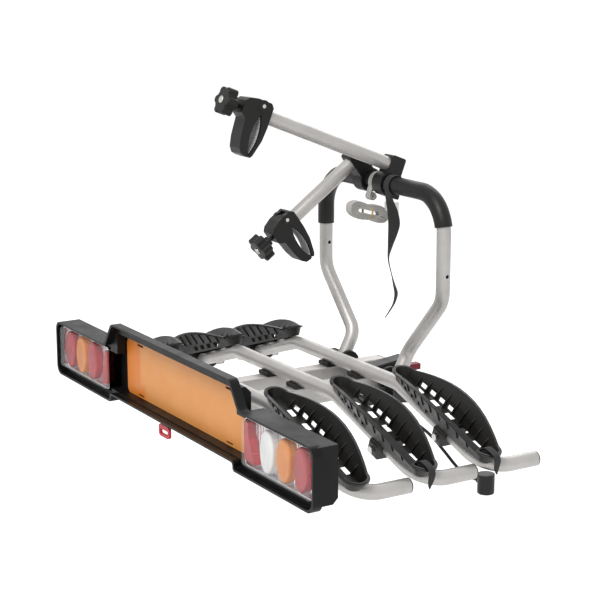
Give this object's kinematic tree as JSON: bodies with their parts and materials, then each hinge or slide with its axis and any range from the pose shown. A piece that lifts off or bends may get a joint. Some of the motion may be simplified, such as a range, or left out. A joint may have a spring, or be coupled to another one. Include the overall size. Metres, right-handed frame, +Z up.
{
  "type": "tow ball bike rack",
  "caption": "Bike rack for a tow ball: drooping rails with boat-shaped wheel trays, a light board, and a hoop whose swinging arms end in clamping jaws.",
  "frame": {"origin": "centre of the tow ball that the rack's coupling grips", "axes": "+X to the right end of the light board as seen from behind, +Y towards the car, +Z up"},
  "size_m": [1.124, 0.63, 0.7691],
  "materials": {
    "silver_tube": "satin silver lacquer",
    "bracket_steel": "satin black coating",
    "coupling_casting": "satin black coating",
    "bare_steel": "zinc plated",
    "black_plastic": "moulded, satin",
    "sleeve_rubber": "matt",
    "cable_rubber": "satin",
    "pad_rubber": "matt",
    "dark_webbing": "woven",
    "light_webbing": "woven",
    "orange_panel": "satin",
    "lamp_reflector": "metallised",
    "clear_cover": "clear",
    "amber_lens": "clear tinted",
    "red_lens": "clear tinted",
    "clear_lens": "clear",
    "maroon_plastic": "glossy",
    "red_plastic": "glossy"
  },
  "bodies": {
    "coupling": {"coupling_housing": "coupling_casting", "coupling_pins": "bare_steel"},
    "ball_jaw": {"ball_jaw": "bare_steel"},
    "lever": {"coupling_lever": "bare_steel", "lever_cover": "black_plastic"},
    "button": {"release_button": "maroon_plastic"},
    "platform": {"left_member": "silver_tube", "right_member": "silver_tube", "tilt_yoke": "bracket_steel", "board_bracket": "bracket_steel", "tube_caps": "black_plastic", "rail_saddles": "black_plastic", "rail_1": "silver_tube", "rail_2": "silver_tube", "rail_3": "silver_tube", "left_tray_1": "black_plastic", "left_tray_2": "black_plastic", "left_tray_3": "black_plastic", "right_tray_1": "black_plastic", "right_tray_2": "black_plastic", "right_tray_3": "black_plastic", "tray_clamps": "black_plastic", "wheel_straps": "dark_webbing", "frame_bolts": "bare_steel", "light_board": "black_plastic", "plate_panel": "orange_panel", "lamp_bodies": "lamp_reflector", "lamp_covers": "clear_cover", "amber_lenses": "amber_lens", "red_lenses": "red_lens", "clear_lens": "clear_lens", "hoop_brackets": "bracket_steel", "bracket_covers": "black_plastic", "plug": "black_plastic", "cable": "cable_rubber"},
    "latch": {"latch_rod": "bare_steel", "release_loop": "red_plastic"},
    "hoop": {"hoop_tube": "silver_tube", "hoop_sleeve": "sleeve_rubber", "strap_hank": "light_webbing", "strap_buckle": "bare_steel", "black_strap": "dark_webbing"},
    "left_foot_knob": {"left_foot_knob": "black_plastic"},
    "right_foot_knob": {"right_foot_knob": "black_plastic"},
    "upper_arm": {"upper_arm_clamp": "black_plastic", "upper_arm_tube": "silver_tube", "upper_fixed_jaw": "black_plastic", "upper_fixed_pad": "pad_rubber", "upper_arm_fasteners": "bare_steel"},
    "upper_jaw": {"upper_moving_jaw": "black_plastic", "upper_moving_pad": "pad_rubber"},
    "upper_knob": {"upper_jaw_knob": "black_plastic"},
    "lower_arm": {"lower_arm_clamp": "black_plastic", "lower_arm_tube": "silver_tube", "lower_fixed_jaw": "black_plastic", "lower_fixed_pad": "pad_rubber", "lower_arm_fasteners": "bare_steel"},
    "lower_jaw": {"lower_moving_jaw": "black_plastic", "lower_moving_pad": "pad_rubber"},
    "lower_knob": {"lower_jaw_knob": "black_plastic"}
  },
  "joints": [
    {"name": "tilt", "type": "hinge", "parent": "coupling", "child": "platform", "pos_m": [0, -0.07, 0.012], "axis": [1, 0, 0], "range_deg": [0, 30]},
    {"name": "latch_slide", "type": "slide", "parent": "platform", "child": "latch", "axis": [0, -1, 0], "range_m": [0, 0.032]},
    {"name": "lever_lift", "type": "hinge", "parent": "coupling", "child": "lever", "pos_m": [0, -0.1, 0.057], "axis": [1, 0, 0], "range_deg": [0, 70]},
    {"name": "jaw_open", "type": "hinge", "parent": "coupling", "child": "ball_jaw", "pos_m": [0, -0.036, 0.019], "axis": [1, 0, 0], "range_deg": [-18, 0]},
    {"name": "button_press", "type": "slide", "parent": "lever", "child": "button", "axis": [0, -1, 0], "range_m": [0, 0.004], "stiffness_N_per_m": 400},
    {"name": "hoop_fold", "type": "hinge", "parent": "platform", "child": "hoop", "pos_m": [0, -0.096, 0.056], "axis": [1, 0, 0], "range_deg": [0, 25]},
    {"name": "left_foot_turn", "type": "hinge", "parent": "platform", "child": "left_foot_knob", "pos_m": [-0.137, -0.096, 0.056], "axis": [1, 0, 0], "continuous": true},
    {"name": "right_foot_turn", "type": "hinge", "parent": "platform", "child": "right_foot_knob", "pos_m": [0.137, -0.096, 0.056], "axis": [1, 0, 0], "continuous": true},
    {"name": "upper_arm_swing", "type": "hinge", "parent": "hoop", "child": "upper_arm", "pos_m": [0.014, -0.064, 0.471], "axis": [-1, 0, 0], "range_deg": [-50, 40]},
    {"name": "upper_jaw_swing", "type": "hinge", "parent": "upper_arm", "child": "upper_jaw", "pos_m": [0.014, -0.3775, 0.65468], "axis": [1, 0, 0], "range_deg": [-25, 0]},
    {"name": "upper_knob_turn", "type": "hinge", "parent": "upper_jaw", "child": "upper_knob", "pos_m": [0.014, -0.45314, 0.66728], "axis": [0, -0.9304, 0.3665], "continuous": true},
    {"name": "lower_arm_swing", "type": "hinge", "parent": "hoop", "child": "lower_arm", "pos_m": [-0.06, -0.064, 0.471], "axis": [-1, 0, 0], "range_deg": [-24, 62]},
    {"name": "lower_jaw_swing", "type": "hinge", "parent": "lower_arm", "child": "lower_jaw", "pos_m": [-0.06, -0.27886, 0.40265], "axis": [1, 0, 0], "range_deg": [-25, 0]},
    {"name": "lower_knob_turn", "type": "hinge", "parent": "lower_jaw", "child": "lower_knob", "pos_m": [-0.06, -0.33013, 0.34563], "axis": [0, -0.809, -0.5878], "continuous": true}
  ],
  "couplings": [
    {"joint": "latch_slide", "follows": "tilt", "m_per_rad": 0.06},
    {"joint": "jaw_open", "follows": "lever_lift", "ratio": -0.25}
  ]
}
